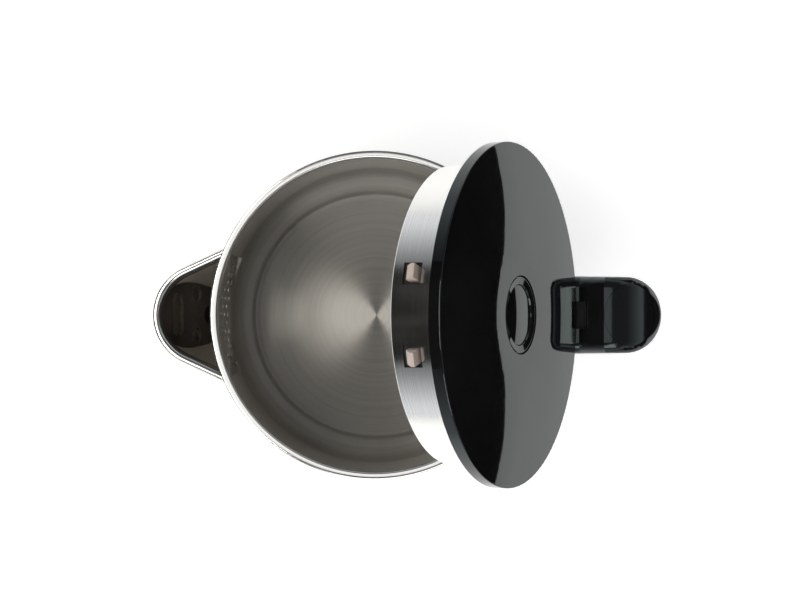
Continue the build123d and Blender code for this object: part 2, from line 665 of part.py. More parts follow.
# frame: plate under the cover, well for the button, hinge arm, latch guides and screw posts
GUIDE_TIP_R = 63.4
GUIDE_X = (GUIDE_TIP_R + 26) / 2
with BuildPart() as lid_frame:
    with BuildSketch(Plane.XY.offset(LID_Z)):
        Circle(FRAME_R)
        with Locations((PIN_X, 0)):
            RectangleRounded(6, 16, 1, mode=Mode.SUBTRACT)
    extrude(amount=FRAME_T)
    with BuildSketch(Plane.XY.offset(LID_Z)):
        Circle(COVER_HOLE_R + 1.6)
        Circle(COVER_HOLE_R, mode=Mode.SUBTRACT)
    extrude(amount=CREST_Z - LID_WALL - 0.6 - LID_Z)
    with BuildSketch(Plane.XY.offset(FRAME_TOP_Z)):
        Circle(44)
        Circle(42.8, mode=Mode.SUBTRACT)
    extrude(amount=2)
    with BuildSketch(Plane.XY.offset(LID_Z)):
        with PolarLocations(SCREW_POST_R, 4, start_angle=60):
            Circle(3.2)
            Circle(SCREW_R, mode=Mode.SUBTRACT)
    extrude(amount=LID_BOTTOM_Z + LID_BOTTOM_T + 0.2 - LID_Z)
    # guides: two rails and an end block with a window for each latch
    for side in (-1, 1):
        guide = latch_frame(side)
        with BuildSketch(guide.offset(LID_Z - LATCH_Z)):
            with Locations((GUIDE_X, 0)):
                Rectangle(GUIDE_TIP_R - 26, LATCH_W + 0.6 + 2 * RAIL_W)
        extrude(amount=-16.4)
        with BuildSketch(guide.offset(LID_Z - LATCH_Z)):
            with Locations((GUIDE_TIP_R - 1.5, 0)):
                Rectangle(3, 12.5)
        extrude(amount=-17.6)
    for side in (-1, 1):
        guide = latch_frame(side)
        with BuildSketch(guide.offset(-LATCH_H / 2 - 0.4)):
            with Locations((GUIDE_TIP_R, 0)):
                Rectangle(10, LATCH_W + 0.6)
        extrude(amount=LATCH_H + 0.8, mode=Mode.SUBTRACT)
        with BuildSketch(guide.offset(-BAR_H / 2 - 3)):
            with Locations((GUIDE_X - 2, 0)):
                Rectangle(GUIDE_TIP_R - 24, LATCH_W + 0.6)
        extrude(amount=BAR_H + 3.4, mode=Mode.SUBTRACT)
        with BuildSketch(guide.offset(-BAR_H / 2 + 0.5)):
            with Locations((PEG_X, 0)):
                Rectangle(PEG_T, LATCH_WINDOW_W - 0.6)
        extrude(amount=LID_Z + 0.5 - (LATCH_Z - BAR_H / 2 + 0.5))
    # arm that leaves the disc over the rim and drops to the hinge's knuckle
    with BuildSketch(side_at(ARM_W / 2)):
        Polygon(
            (66, LID_Z),
            (75.9, LID_Z),
            (HINGE_X - KNUCKLE_R + 0.1, HINGE_Z + 1),
            (HINGE_X, HINGE_Z - 1),
            (HINGE_X + KNUCKLE_R - 0.1, HINGE_Z + 1),
            (HINGE_X + 1, HINGE_Z + 7),
            (78.8, LID_Z + 3.2),
            (66, LID_Z + 3.2),
            align=None,
        )
        with Locations((HINGE_X, HINGE_Z)):
            Circle(KNUCKLE_R)
    extrude(amount=ARM_W)
    with BuildSketch(side_at(ARM_W / 2)):
        with Locations((HINGE_X, HINGE_Z)):
            Circle(HINGE_PIN_R + 0.05)
    extrude(amount=ARM_W, mode=Mode.SUBTRACT)

with BuildPart() as lid_skirt:
    with BuildSketch(SIDE):
        with BuildLine():
            Polyline(
                (59, LID_Z - 0.1),
                (SKIRT_R, LID_Z - 0.1),
                (SKIRT_R, SKIRT_Z + 0.6),
            )
            ThreePointArc(
                (SKIRT_R, SKIRT_Z + 0.6),
                (SKIRT_R - 0.6, SKIRT_Z),
                (SKIRT_R - 1.2, SKIRT_Z + 0.6),
            )
            Polyline(
                (SKIRT_R - 1.2, SKIRT_Z + 0.6),
                (SKIRT_R - 1.2, SKIRT_Z + 1.2),
                (SKIRT_INNER_R, SKIRT_Z + 1.4),
                (SKIRT_INNER_R, LID_Z - 0.1 - SKIRT_SHEET),
                (59, LID_Z - 0.1 - SKIRT_SHEET),
                (59, LID_Z - 0.1),
            )
        make_face()
    revolve(axis=Axis.Z)
    for side in (-1, 1):
        guide = latch_frame(side)
        with BuildSketch(guide.offset(WINDOW_Z - LATCH_Z - WINDOW_H / 2)):
            with Locations((SKIRT_R, 0)):
                Rectangle(8, WINDOW_W)
        extrude(amount=WINDOW_H, mode=Mode.SUBTRACT)
        # the flange is cut away over the guides
        with BuildSketch(guide.offset(LID_Z - LATCH_Z)):
            with Locations((58, 0)):
                Rectangle(12.2, 13)
        extrude(amount=-1, mode=Mode.SUBTRACT)

# plate that closes the underside of the lid
with BuildPart() as lid_bottom:
    with BuildSketch(Plane.XY.offset(LID_BOTTOM_Z)):
        Circle(SKIRT_INNER_R - 0.3)
    extrude(amount=LID_BOTTOM_T)
    with BuildSketch(Plane.XY.offset(LID_BOTTOM_Z)):
        Circle(34)
        Circle(31, mode=Mode.SUBTRACT)
    extrude(amount=-0.6)
    with BuildSketch(Plane.XY.offset(LID_BOTTOM_Z)):
        with PolarLocations(SCREW_POST_R, 4, start_angle=60):
            Circle(SCREW_R + 0.15)
    extrude(amount=LID_BOTTOM_T, mode=Mode.SUBTRACT)

with BuildPart() as lid_screws:
    with BuildSketch(Plane.XY.offset(LID_BOTTOM_Z - 1.2)):
        with PolarLocations(SCREW_POST_R, 4, start_angle=60):
            Circle(2.8)
    extrude(amount=1.2)
    fillet(lid_screws.edges().group_by(Axis.Z)[0], 0.6)
    with BuildSketch(Plane.XY.offset(LID_BOTTOM_Z)):
        with PolarLocations(SCREW_POST_R, 4, start_angle=60):
            Circle(SCREW_R - 0.02)
    extrude(amount=9)

# button with a low dome inside a raised ring; a post below carries the cross pin that draws the latches in
BUTTON_DISH = 1.9  # from the ring's crest to the inside of the top
BUTTON_DOME_R = 12.9
BUTTON_TOP_Z = CREST_Z - 0.3
BUTTON_H = 4.6
BUTTON_WALL = 1.6
with BuildPart() as lid_button:
    with BuildSketch(SIDE):
        with BuildLine():
            ThreePointArc(
                (0, BUTTON_TOP_Z - 0.3),
                (BUTTON_DOME_R / 2, BUTTON_TOP_Z - 0.475),
                (BUTTON_DOME_R, BUTTON_TOP_Z - 1),
            )
            Line((BUTTON_DOME_R, BUTTON_TOP_Z - 1), (BUTTON_DOME_R + 0.2, BUTTON_TOP_Z - 1.25))
            Line((BUTTON_DOME_R + 0.2, BUTTON_TOP_Z - 1.25), (BUTTON_DOME_R + 0.5, BUTTON_TOP_Z - 0.4))
            Line((BUTTON_DOME_R + 0.5, BUTTON_TOP_Z - 0.4), (BUTTON_R - 0.8, BUTTON_TOP_Z))
            ThreePointArc(
                (BUTTON_R - 0.8, BUTTON_TOP_Z),
                (BUTTON_R - 0.2, BUTTON_TOP_Z - 0.2),
                (BUTTON_R, BUTTON_TOP_Z - 0.8),
            )
            Polyline(
                (BUTTON_R, BUTTON_TOP_Z - 0.8),
                (BUTTON_R, BUTTON_TOP_Z - BUTTON_H),
                (BUTTON_R - BUTTON_WALL, BUTTON_TOP_Z - BUTTON_H),
                (BUTTON_R - BUTTON_WALL, BUTTON_TOP_Z - BUTTON_DISH - BUTTON_WALL),
                (0, BUTTON_TOP_Z - BUTTON_DISH - BUTTON_WALL),
                (0, BUTTON_TOP_Z - 0.3),
            )
        make_face()
    revolve(axis=Axis.Z)
    with BuildSketch(Plane.XY.offset(BUTTON_TOP_Z - BUTTON_DISH - 1)):
        with Locations((PIN_X, 0)):
            Rectangle(3.4, POST_W)
    extrude(amount=PIN_Z - 1.6 - (BUTTON_TOP_Z - BUTTON_DISH - 1))
    with BuildSketch(side_at(6.6)):
        with Locations((PIN_X, PIN_Z)):
            Circle(PIN_R)
    extrude(amount=13.2)


def latch(side):
    """A bar with a slanted slot at its inner end and a sloped nose that stands out through the skirt."""
    plane = latch_frame(side)
    with BuildPart() as bar:
        with BuildSketch(plane.offset(-BAR_H / 2)):
            with Locations(((BAR_START + BAR_WIDE) / 2, 0)):
                Rectangle(BAR_WIDE + 1 - BAR_START, BAR_W)
            with Locations(((BAR_WIDE + BAR_END) / 2, 0)):
                Rectangle(BAR_END - BAR_WIDE, LATCH_W)
            with Locations((sum(LATCH_WINDOW) / 2, 0)):
                Rectangle(LATCH_WINDOW[1] - LATCH_WINDOW[0], LATCH_WINDOW_W, mode=Mode.SUBTRACT)
        extrude(amount=BAR_H)
        with BuildSketch(plane.offset(-LATCH_H / 2)):
            with Locations(((BAR_END - 2.5 + LATCH_TIP_R) / 2, 0)):
                Rectangle(LATCH_TIP_R - BAR_END + 2.5, LATCH_W)
        extrude(amount=LATCH_H)
        # the nose's underside slopes, so that it rides over the rim as the lid shuts
        tip = Plane(origin=plane.from_local_coords((0, LATCH_W, 0)), x_dir=plane.x_dir, z_dir=-plane.y_dir)
        with BuildSketch(tip):
            Polygon(
                (LATCH_TIP_R - 4, -LATCH_H / 2 - 0.1),
                (LATCH_TIP_R + 1, -LATCH_H / 2 - 0.1),
                (LATCH_TIP_R + 1, LATCH_H / 2 - 0.6),
                align=None,
            )
        extrude(amount=2 * LATCH_W, mode=Mode.SUBTRACT)
        # slot in which the cross pin runs down while the bar runs in
        with BuildSketch(side_at(20)):
            with Locations(Location((PIN_X - BUTTON_TRAVEL / 2, PIN_Z - BUTTON_TRAVEL / 2), 45)):
                SlotOverall(BUTTON_TRAVEL * 1.42 + 2 * PIN_R + 0.7, 2 * PIN_R + 0.6)
        extrude(amount=40, mode=Mode.SUBTRACT)
    return bar.part


latch_left = latch(1)
latch_right = latch(-1)

with BuildPart() as latch_springs:
    for side in (-1, 1):
        plane = latch_frame(side)
        seat = Plane(origin=plane.from_local_coords((PEG_X + PEG_T / 2 + 0.4, 0, 0)), z_dir=plane.x_dir)
        add(coil_spring(seat, 1.25, 0.5, LATCH_WINDOW[1] - PEG_X - PEG_T / 2 - 0.8, 8))

BUTTON_SPACE = BUTTON_TOP_Z - BUTTON_DISH - BUTTON_WALL - FRAME_TOP_Z
with BuildPart() as button_spring:
    add(coil_spring(Plane.XY.offset(FRAME_TOP_Z + 0.4), 8.5, 0.6, BUTTON_SPACE - 0.8, 2))

# ======== hinge ========
TROUGH_INNER_W = 12.5
TROUGH_W = 18.6
TROUGH_BACK_X = 97.0
TROUGH_FOOT_Z = 174.8
TROUGH_TOP_Z = HANDLE_TOP_Z - HANDLE_WALL - 0.2
TROUGH_WALL = 1.7
PIN_HALF = 13.8

# trough behind the rim, whose side walls carry the hinge pin
with BuildPart() as hinge_bracket:
    with BuildSketch(Plane.XY.offset(TROUGH_FOOT_Z)):
        with Locations(((RIM_INNER_R + TROUGH_BACK_X + TROUGH_WALL) / 2, 0)):
            Rectangle(TROUGH_BACK_X + TROUGH_WALL - RIM_INNER_R, TROUGH_W)
    extrude(amount=TROUGH_TOP_Z - TROUGH_FOOT_Z)
    with BuildSketch(Plane.XY.offset(TROUGH_FOOT_Z + TROUGH_WALL)):
        with Locations(((RIM_INNER_R + TROUGH_BACK_X) / 2, 0)):
            Rectangle(TROUGH_BACK_X - RIM_INNER_R, TROUGH_INNER_W)
    extrude(amount=20, mode=Mode.SUBTRACT)
    with BuildSketch(side_at(TROUGH_W)):
        with Locations((HINGE_X, HINGE_Z)):
            Circle(HINGE_PIN_R + 0.02)
    extrude(amount=2 * TROUGH_W, mode=Mode.SUBTRACT)
    add(body_envelope.part, mode=Mode.SUBTRACT)

with BuildPart() as hinge_pin:
    with BuildSketch(side_at(PIN_HALF)):
        with Locations((HINGE_X, HINGE_Z)):
            Circle(HINGE_PIN_R)
    extrude(amount=2 * PIN_HALF)
    chamfer(hinge_pin.edges().filter_by(GeomType.CIRCLE), 0.3)

# coils on the pin's two ends that lift the lid
with BuildPart() as hinge_springs:
    for start in (TROUGH_W / 2 + 0.6, -PIN_HALF + 0.4):
        seat = Plane(origin=(HINGE_X, start, HINGE_Z), z_dir=(0, 1, 0))
        add(coil_spring(seat, HINGE_PIN_R + 0.7, 0.6, PIN_HALF - TROUGH_W / 2 - 1, 4))

# ======== handle ========
HANDLE_BACK_X = 60.0  # inside the body, where the handle is cut to the body's shape
HANDLE_BACK_W = 36.6
HANDLE_END_W = 34.6
HANDLE_END_R = 16.0
HANDLE_ROUND = 5.0
FINGER_ROUND = 13.0
CREST_X = 104.0
SLOPE_X = 93.0  # where the housing over the hinge starts to rise to the crest
# outline of the handle's top, from its outer end up to the crest
DOME = (
    (134, HANDLE_CREST_Z - 25),
    (127.5, HANDLE_CREST_Z - 14.2),
    (120, HANDLE_CREST_Z - 6),
    (112, HANDLE_CREST_Z - 1.2),
    (CREST_X, HANDLE_CREST_Z),
)
# outermost point of the grip and its height, from the foot up
GRIP = ((108, 28), (117.5, 50), (124.5, 90), (129.5, 135), (HANDLE_X, 170), (HANDLE_X + 0.2, 204))


def grip_section(tip_x, z, inset):
    """Plan outline of the handle at one height: straight sides and a round outer end."""
    back, end = HANDLE_BACK_W / 2 - inset, HANDLE_END_W / 2 - inset
    end_x = tip_x - HANDLE_END_R
    with BuildSketch(Plane.XY.offset(z)) as outline:
        with BuildLine():
            Line((HANDLE_BACK_X, -back), (end_x, -end))
            ThreePointArc((end_x, -end), (tip_x - inset, 0), (end_x, end))
            Line((end_x, end), (HANDLE_BACK_X, back))
            Line((HANDLE_BACK_X, back), (HANDLE_BACK_X, -back))
        make_face()
    return outline.sketch


def finger_prism(grow, width):
    """The handle's finger hole as a prism across the handle, grown all round."""
    with BuildPart() as prism:
        with BuildSketch(side_at(width / 2)):
            with Locations((FINGER_X / 2, (FINGER_TOP_Z + FINGER_FOOT_Z) / 2)):
                RectangleRounded(
                    FINGER_X + 2 * grow, FINGER_TOP_Z - FINGER_FOOT_Z + 2 * grow, FINGER_ROUND + grow
                )
        extrude(amount=width)
    return prism.part


def is_rim_edge(edge):
    """Edges round the handle's top and foot, without the creases that run across it."""
    middle = edge.center()
    across = edge.geom_type == GeomType.LINE and abs(middle.Y) < 1
    at_end = middle.Z > FINGER_TOP_Z or middle.Z < HANDLE_FOOT_Z + 2
    return middle.X > 70 and at_end and not across


def filled_handle(inset):
    """The handle as a filled solid, drawn in by inset."""
    top_z = HANDLE_TOP_Z - inset
    dome = [(x - 0.7 * inset, z - inset) for x, z in DOME[:-1]] + [(CREST_X, HANDLE_CREST_Z - inset)]
    with BuildPart() as filled:
        loft([grip_section(tip_x, z, inset) for tip_x, z in GRIP])
        with BuildSketch(side_at(HANDLE_W)):
            with BuildLine():
                Polyline((50, top_z), (50, HANDLE_FOOT_Z + inset), (150, HANDLE_FOOT_Z + inset), dome[0])
                Spline(dome, tangents=((-0.45, 1), (-1, 0)))
                Polyline(dome[-1], (SLOPE_X, top_z), (50, top_z))
            make_face()
        extrude(amount=2 * HANDLE_W, mode=Mode.INTERSECT)
        if inset == 0:
            fillet(filled.edges().filter_by(is_rim_edge), HANDLE_ROUND)
    return filled.part


handle_outside = filled_handle(0)
handle_inside = filled_handle(HANDLE_WALL)
cap_inside = filled_handle(HANDLE_WALL + 1.2)
finger_hole = finger_prism(0, 2 * HANDLE_W)
finger_wall = finger_prism(HANDLE_WALL, 2 * HANDLE_W)
inner_half = finger_prism(7, 2 * HANDLE_W)
inner_half_grown = finger_prism(7.15, 2 * HANDLE_W)

with BuildPart() as hollow:
    add(handle_inside)
    add(finger_wall, mode=Mode.SUBTRACT)

# hollow skin of the whole handle, which the two halves share
with BuildPart() as handle_skin:
    add(handle_outside)
    add(finger_hole, mode=Mode.SUBTRACT)
    add(hollow.part, mode=Mode.SUBTRACT)
    add(body_envelope.part, mode=Mode.SUBTRACT)

CAP_X = 116.0
CAP_A, CAP_B = 11.7, 14.1
PADDLE_W = 18.0
LENS_Z = 68.0
LENS_R = 2.4
SCREW_X, SCREW_Y = 86.0, 13.0

with BuildPart() as handle_inner:
    add(handle_skin.part)
    add(inner_half, mode=Mode.INTERSECT)

with BuildPart() as handle_outer:
    add(handle_skin.part)
    add(inner_half_grown, mode=Mode.SUBTRACT)
    # slot that the lid's hinge arm swings in
    with BuildSketch(Plane.XY.offset(TROUGH_TOP_Z - 1)):
        with Locations(((RIM_R + TROUGH_BACK_X) / 2, 0)):
            Rectangle(TROUGH_BACK_X - RIM_R, TROUGH_INNER_W)
    extrude(amount=20, mode=Mode.SUBTRACT)
    # opening for the cap
    with BuildSketch(Plane.XY.offset(FINGER_TOP_Z + 12)):
        with Locations((CAP_X, 0)):
            Ellipse(CAP_A + 0.15, CAP_B + 0.15)
    extrude(amount=40, mode=Mode.SUBTRACT)
    # opening for the switch paddle
    with BuildSketch(Plane.YZ.offset(PADDLE_X + 7)):
        with Locations((0, PADDLE_Z + 1)):
            RectangleRounded(PADDLE_W + 1.4, 17, 2)
    extrude(amount=23, mode=Mode.SUBTRACT)
    with BuildSketch(Plane.YZ.offset(PADDLE_X + 10)):
        with Locations((0, LENS_Z)):
            Circle(LENS_R + 0.1)
    extrude(amount=20, mode=Mode.SUBTRACT)
    # screws from below
    with BuildSketch(Plane.XY.offset(HANDLE_FOOT_Z)):
        with Locations((SCREW_X, SCREW_Y), (SCREW_X, -SCREW_Y)):
            Circle(SCREW_R + 0.15)
    extrude(amount=5, mode=Mode.SUBTRACT)
    with BuildSketch(Plane.XY.offset(HANDLE_FOOT_Z)):
        with Locations((SCREW_X, SCREW_Y), (SCREW_X, -SCREW_Y)):
            Circle(3.0)
    extrude(amount=1.2, mode=Mode.SUBTRACT)

# oval cap let into the top of the handle
with BuildPart() as handle_cap:
    with BuildSketch(Plane.XY.offset(FINGER_TOP_Z + 12)):
        with Locations((CAP_X, 0)):
            Ellipse(CAP_A, CAP_B)
    extrude(amount=40)
    add(handle_outside, mode=Mode.INTERSECT)
    add(cap_inside, mode=Mode.SUBTRACT)

with BuildPart() as handle_screws:
    with BuildSketch(Plane.XY.offset(HANDLE_FOOT_Z + 0.1)):
        with Locations((SCREW_X, SCREW_Y), (SCREW_X, -SCREW_Y)):
            Circle(2.8)
    extrude(amount=1)
    with BuildSketch(Plane.XY.offset(HANDLE_FOOT_Z + 1)):
        with Locations((SCREW_X, SCREW_Y), (SCREW_X, -SCREW_Y)):
            Circle(SCREW_R)
    extrude(amount=14)

# tube that leads steam down the handle to the switch
TUBE_R = 2.0
TUBE_FOOT_Z = 54.5
with BuildPart() as steam_tube:
    with BuildLine() as tube_path:
        FilletPolyline(
            (POT_R + SHEET + 0.5, STEAM_Y, STEAM_Z),
            (111.5, STEAM_Y, STEAM_Z),
            (111.5, STEAM_Y, TUBE_FOOT_Z),
            (PADDLE_X - 5.2, STEAM_Y, TUBE_FOOT_Z),
            radius=6,
        )
    with BuildSketch(Plane(origin=tube_path.wire() @ 0, z_dir=tube_path.wire() % 0)):
        Circle(TUBE_R)
        Circle(TUBE_R - 0.7, mode=Mode.SUBTRACT)
    sweep(path=tube_path.wire())

# ======== switch ========
EAR_T = 2.0
BOX_X = 88.5
BOX_FOOT_Z, BOX_TOP_Z = 36.0, 57.0
with BuildPart() as switch_box:
    with BuildSketch(Plane.XY.offset(BOX_FOOT_Z)):
        with Locations((BOX_X, 0)):
            Rectangle(15, PADDLE_W)
    extrude(amount=BOX_TOP_Z - BOX_FOOT_Z)
    fillet(switch_box.edges().filter_by(Axis.Z), 1)
    # two ears that hold the paddle's pin
    for ear_y in (PADDLE_W / 2 + 0.4 + EAR_T, -PADDLE_W / 2 - 0.4):
        with BuildSketch(side_at(ear_y)):
            Polygon(
                (90, 37),
                (95, 37),
                (PADDLE_X + 3, PADDLE_Z - 3),
                (PADDLE_X + 3, PADDLE_Z + 3),
                (90, 52),
                align=None,
            )
        extrude(amount=EAR_T)
    with BuildSketch(Plane.XY.offset(37)):
        with Locations((92, 0)):
            Rectangle(3.4, PADDLE_W + 0.8 + 2 * EAR_T)
    extrude(amount=12)
    with BuildSketch(side_at(20)):
        with Locations((PADDLE_X, PADDLE_Z)):
            Circle(HINGE_PIN_R + 0.02)
    extrude(amount=40, mode=Mode.SUBTRACT)
    # seat for the bimetal disc on top
    with BuildSketch(Plane.XY.offset(BOX_TOP_Z)):
        with Locations((BOX_X, 0)):
            Circle(6.6)
    extrude(amount=-2, mode=Mode.SUBTRACT)

with BuildPart() as bimetal_disc:
    with BuildSketch(Plane.XY.offset(BOX_TOP_Z - 1.8)):
        with Locations((BOX_X, 0)):
            Circle(6.3)
    extrude(amount=0.6)

with BuildPart() as switch_pin:
    with BuildSketch(side_at(12.6)):
        with Locations((PADDLE_X, PADDLE_Z)):
            Circle(HINGE_PIN_R)
    extrude(amount=25.2)

with BuildPart() as switch_lever:
    with BuildSketch(side_at(PADDLE_W / 2)):
        Polygon(
            (PADDLE_X - 3.6, PADDLE_Z - 3),
            (PADDLE_X - 3.6, PADDLE_Z + 3),
            (PADDLE_X + 2, PADDLE_Z + 5),
            (PADDLE_X + 31, PADDLE_Z + 7.5),
            (PADDLE_X + 32, PADDLE_Z + 5),
            (PADDLE_X + 30.5, PADDLE_Z + 3),
            (PADDLE_X + 8, PADDLE_Z - 1.5),
            (PADDLE_X + 2, PADDLE_Z - 4),
            align=None,
        )
        with Locations((PADDLE_X, PADDLE_Z)):
            Circle(HINGE_PIN_R + 0.05, mode=Mode.SUBTRACT)
    extrude(amount=PADDLE_W)
    corners = switch_lever.edges().filter_by(lambda edge: edge.center().X > PADDLE_X + 28)
    fillet(corners.filter_by(Axis.Y), 0.8)

with BuildPart() as indicator_lens:
    with BuildSketch(Plane.YZ.offset(PADDLE_X + 14)):
        with Locations((0, LENS_Z)):
            Circle(LENS_R)
    extrude(amount=5.4)
    fillet(indicator_lens.edges().group_by(Axis.X)[-1], 0.8)

# two wires from the control unit to the switch
with BuildPart() as switch_wires:
    for wire_y in (-3.0, 3.0):
        with BuildLine() as wire_path:
            FilletPolyline(
                (28.4, wire_y, 33),
                (52, wire_y, 33),
                (68, wire_y, WIRE_Z),
                (80.6, wire_y, WIRE_Z),
                radius=8,
            )
        with BuildSketch(Plane(origin=wire_path.wire() @ 0, z_dir=wire_path.wire() % 0)):
            Circle(1.1)
        sweep(path=wire_path.wire())

# ======== write the sub-parts ========
STILL_PARTS = {
    "base_shell": base_shell.part,
    "base_plate": base_plate.part,
    "foot_ring": foot_ring.part,
    "base_screws": base_screws.part,
    "cord_gland": cord_gland.part,
    "base_plug": base_plug.part,
    "plug_contacts": plug_contacts.part,
    "collar": collar.part,
    "bottom_cover": bottom_cover.part,
    "bottom_screws": bottom_screws.part,
    "control_unit": control_unit.part,
    "socket_contacts": socket_contacts.part,
    "dry_boil_discs": dry_boil_discs.part,
    "heat_plate": heat_plate.part,
    "heating_element": heating_element.part,
    "pot": pot.part,
    "shell": shell.part,
    "rim_ring": rim_ring.part,
    "strainer": strainer.part,
    "spout": spout.part,
    "spout_liner": spout_liner.part,
    "hinge_bracket": hinge_bracket.part,
    "hinge_pin": hinge_pin.part,
    "hinge_springs": hinge_springs.part,
    "handle_outer": handle_outer.part,
    "handle_inner": handle_inner.part,
    "handle_cap": handle_cap.part,
    "handle_screws": handle_screws.part,
    "steam_tube": steam_tube.part,
    "switch_box": switch_box.part,
    "bimetal_disc": bimetal_disc.part,
    "switch_pin": switch_pin.part,
    "switch_lever": switch_lever.part,
    "indicator_lens": indicator_lens.part,
    "switch_wires": switch_wires.part,
}
LID_PARTS = {
    "lid_cover": lid_cover.part,
    "lid_frame": lid_frame.part,
    "lid_skirt": lid_skirt.part,
    "lid_bottom": lid_bottom.part,
    "lid_screws": lid_screws.part,
    "lid_button": lid_button.part,
    "button_spring": button_spring.part,
    "latch_left": latch_left,
    "latch_right": latch_right,
    "latch_springs": latch_springs.part,
}
os.makedirs("parts", exist_ok=True)
finished = STILL_PARTS | {name: swing(piece) for name, piece in LID_PARTS.items()}
for name, piece in finished.items():
    piece.label = name
    export_step(piece, f"parts/{name}.step")
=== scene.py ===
import json
import math

import bmesh
import bpy
from mathutils import Euler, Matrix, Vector

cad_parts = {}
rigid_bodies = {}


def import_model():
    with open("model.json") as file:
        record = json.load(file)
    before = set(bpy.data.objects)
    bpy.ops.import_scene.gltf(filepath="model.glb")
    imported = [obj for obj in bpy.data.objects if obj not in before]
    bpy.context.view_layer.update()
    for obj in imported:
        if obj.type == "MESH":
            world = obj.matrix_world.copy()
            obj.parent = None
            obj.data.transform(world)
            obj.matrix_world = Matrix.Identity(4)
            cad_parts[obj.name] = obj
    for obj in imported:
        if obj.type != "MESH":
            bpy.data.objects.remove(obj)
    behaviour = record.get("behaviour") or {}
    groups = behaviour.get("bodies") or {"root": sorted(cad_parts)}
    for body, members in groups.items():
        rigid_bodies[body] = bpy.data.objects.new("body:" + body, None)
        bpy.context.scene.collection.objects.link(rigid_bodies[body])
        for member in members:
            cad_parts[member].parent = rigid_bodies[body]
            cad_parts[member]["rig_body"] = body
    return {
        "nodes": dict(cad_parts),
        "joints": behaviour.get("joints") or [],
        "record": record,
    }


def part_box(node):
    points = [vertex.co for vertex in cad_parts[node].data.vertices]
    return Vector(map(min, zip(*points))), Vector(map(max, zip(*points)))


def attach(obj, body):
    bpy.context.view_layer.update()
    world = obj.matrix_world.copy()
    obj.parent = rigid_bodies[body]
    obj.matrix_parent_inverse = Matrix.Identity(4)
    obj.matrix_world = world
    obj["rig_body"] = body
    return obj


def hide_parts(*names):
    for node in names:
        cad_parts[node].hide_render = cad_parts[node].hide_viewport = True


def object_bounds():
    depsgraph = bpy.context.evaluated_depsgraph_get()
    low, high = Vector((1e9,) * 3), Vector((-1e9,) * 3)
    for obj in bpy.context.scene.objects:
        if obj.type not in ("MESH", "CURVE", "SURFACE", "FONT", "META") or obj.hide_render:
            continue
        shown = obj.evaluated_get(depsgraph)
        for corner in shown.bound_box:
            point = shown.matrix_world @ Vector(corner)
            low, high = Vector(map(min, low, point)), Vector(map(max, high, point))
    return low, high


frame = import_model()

CAD_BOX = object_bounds()
NODES = frame["nodes"]

# Where the lid stands: it is open by this angle about the hinge, which lies along Y.
LID_JOINT = next(j for j in frame["joints"] if j["name"] == "lid_hinge")
HINGE = Vector(LID_JOINT["pos_m"])
LID_OPEN = math.radians(-LID_JOINT["range_deg"][0])


# ---------------------------------------------------------------- node helpers


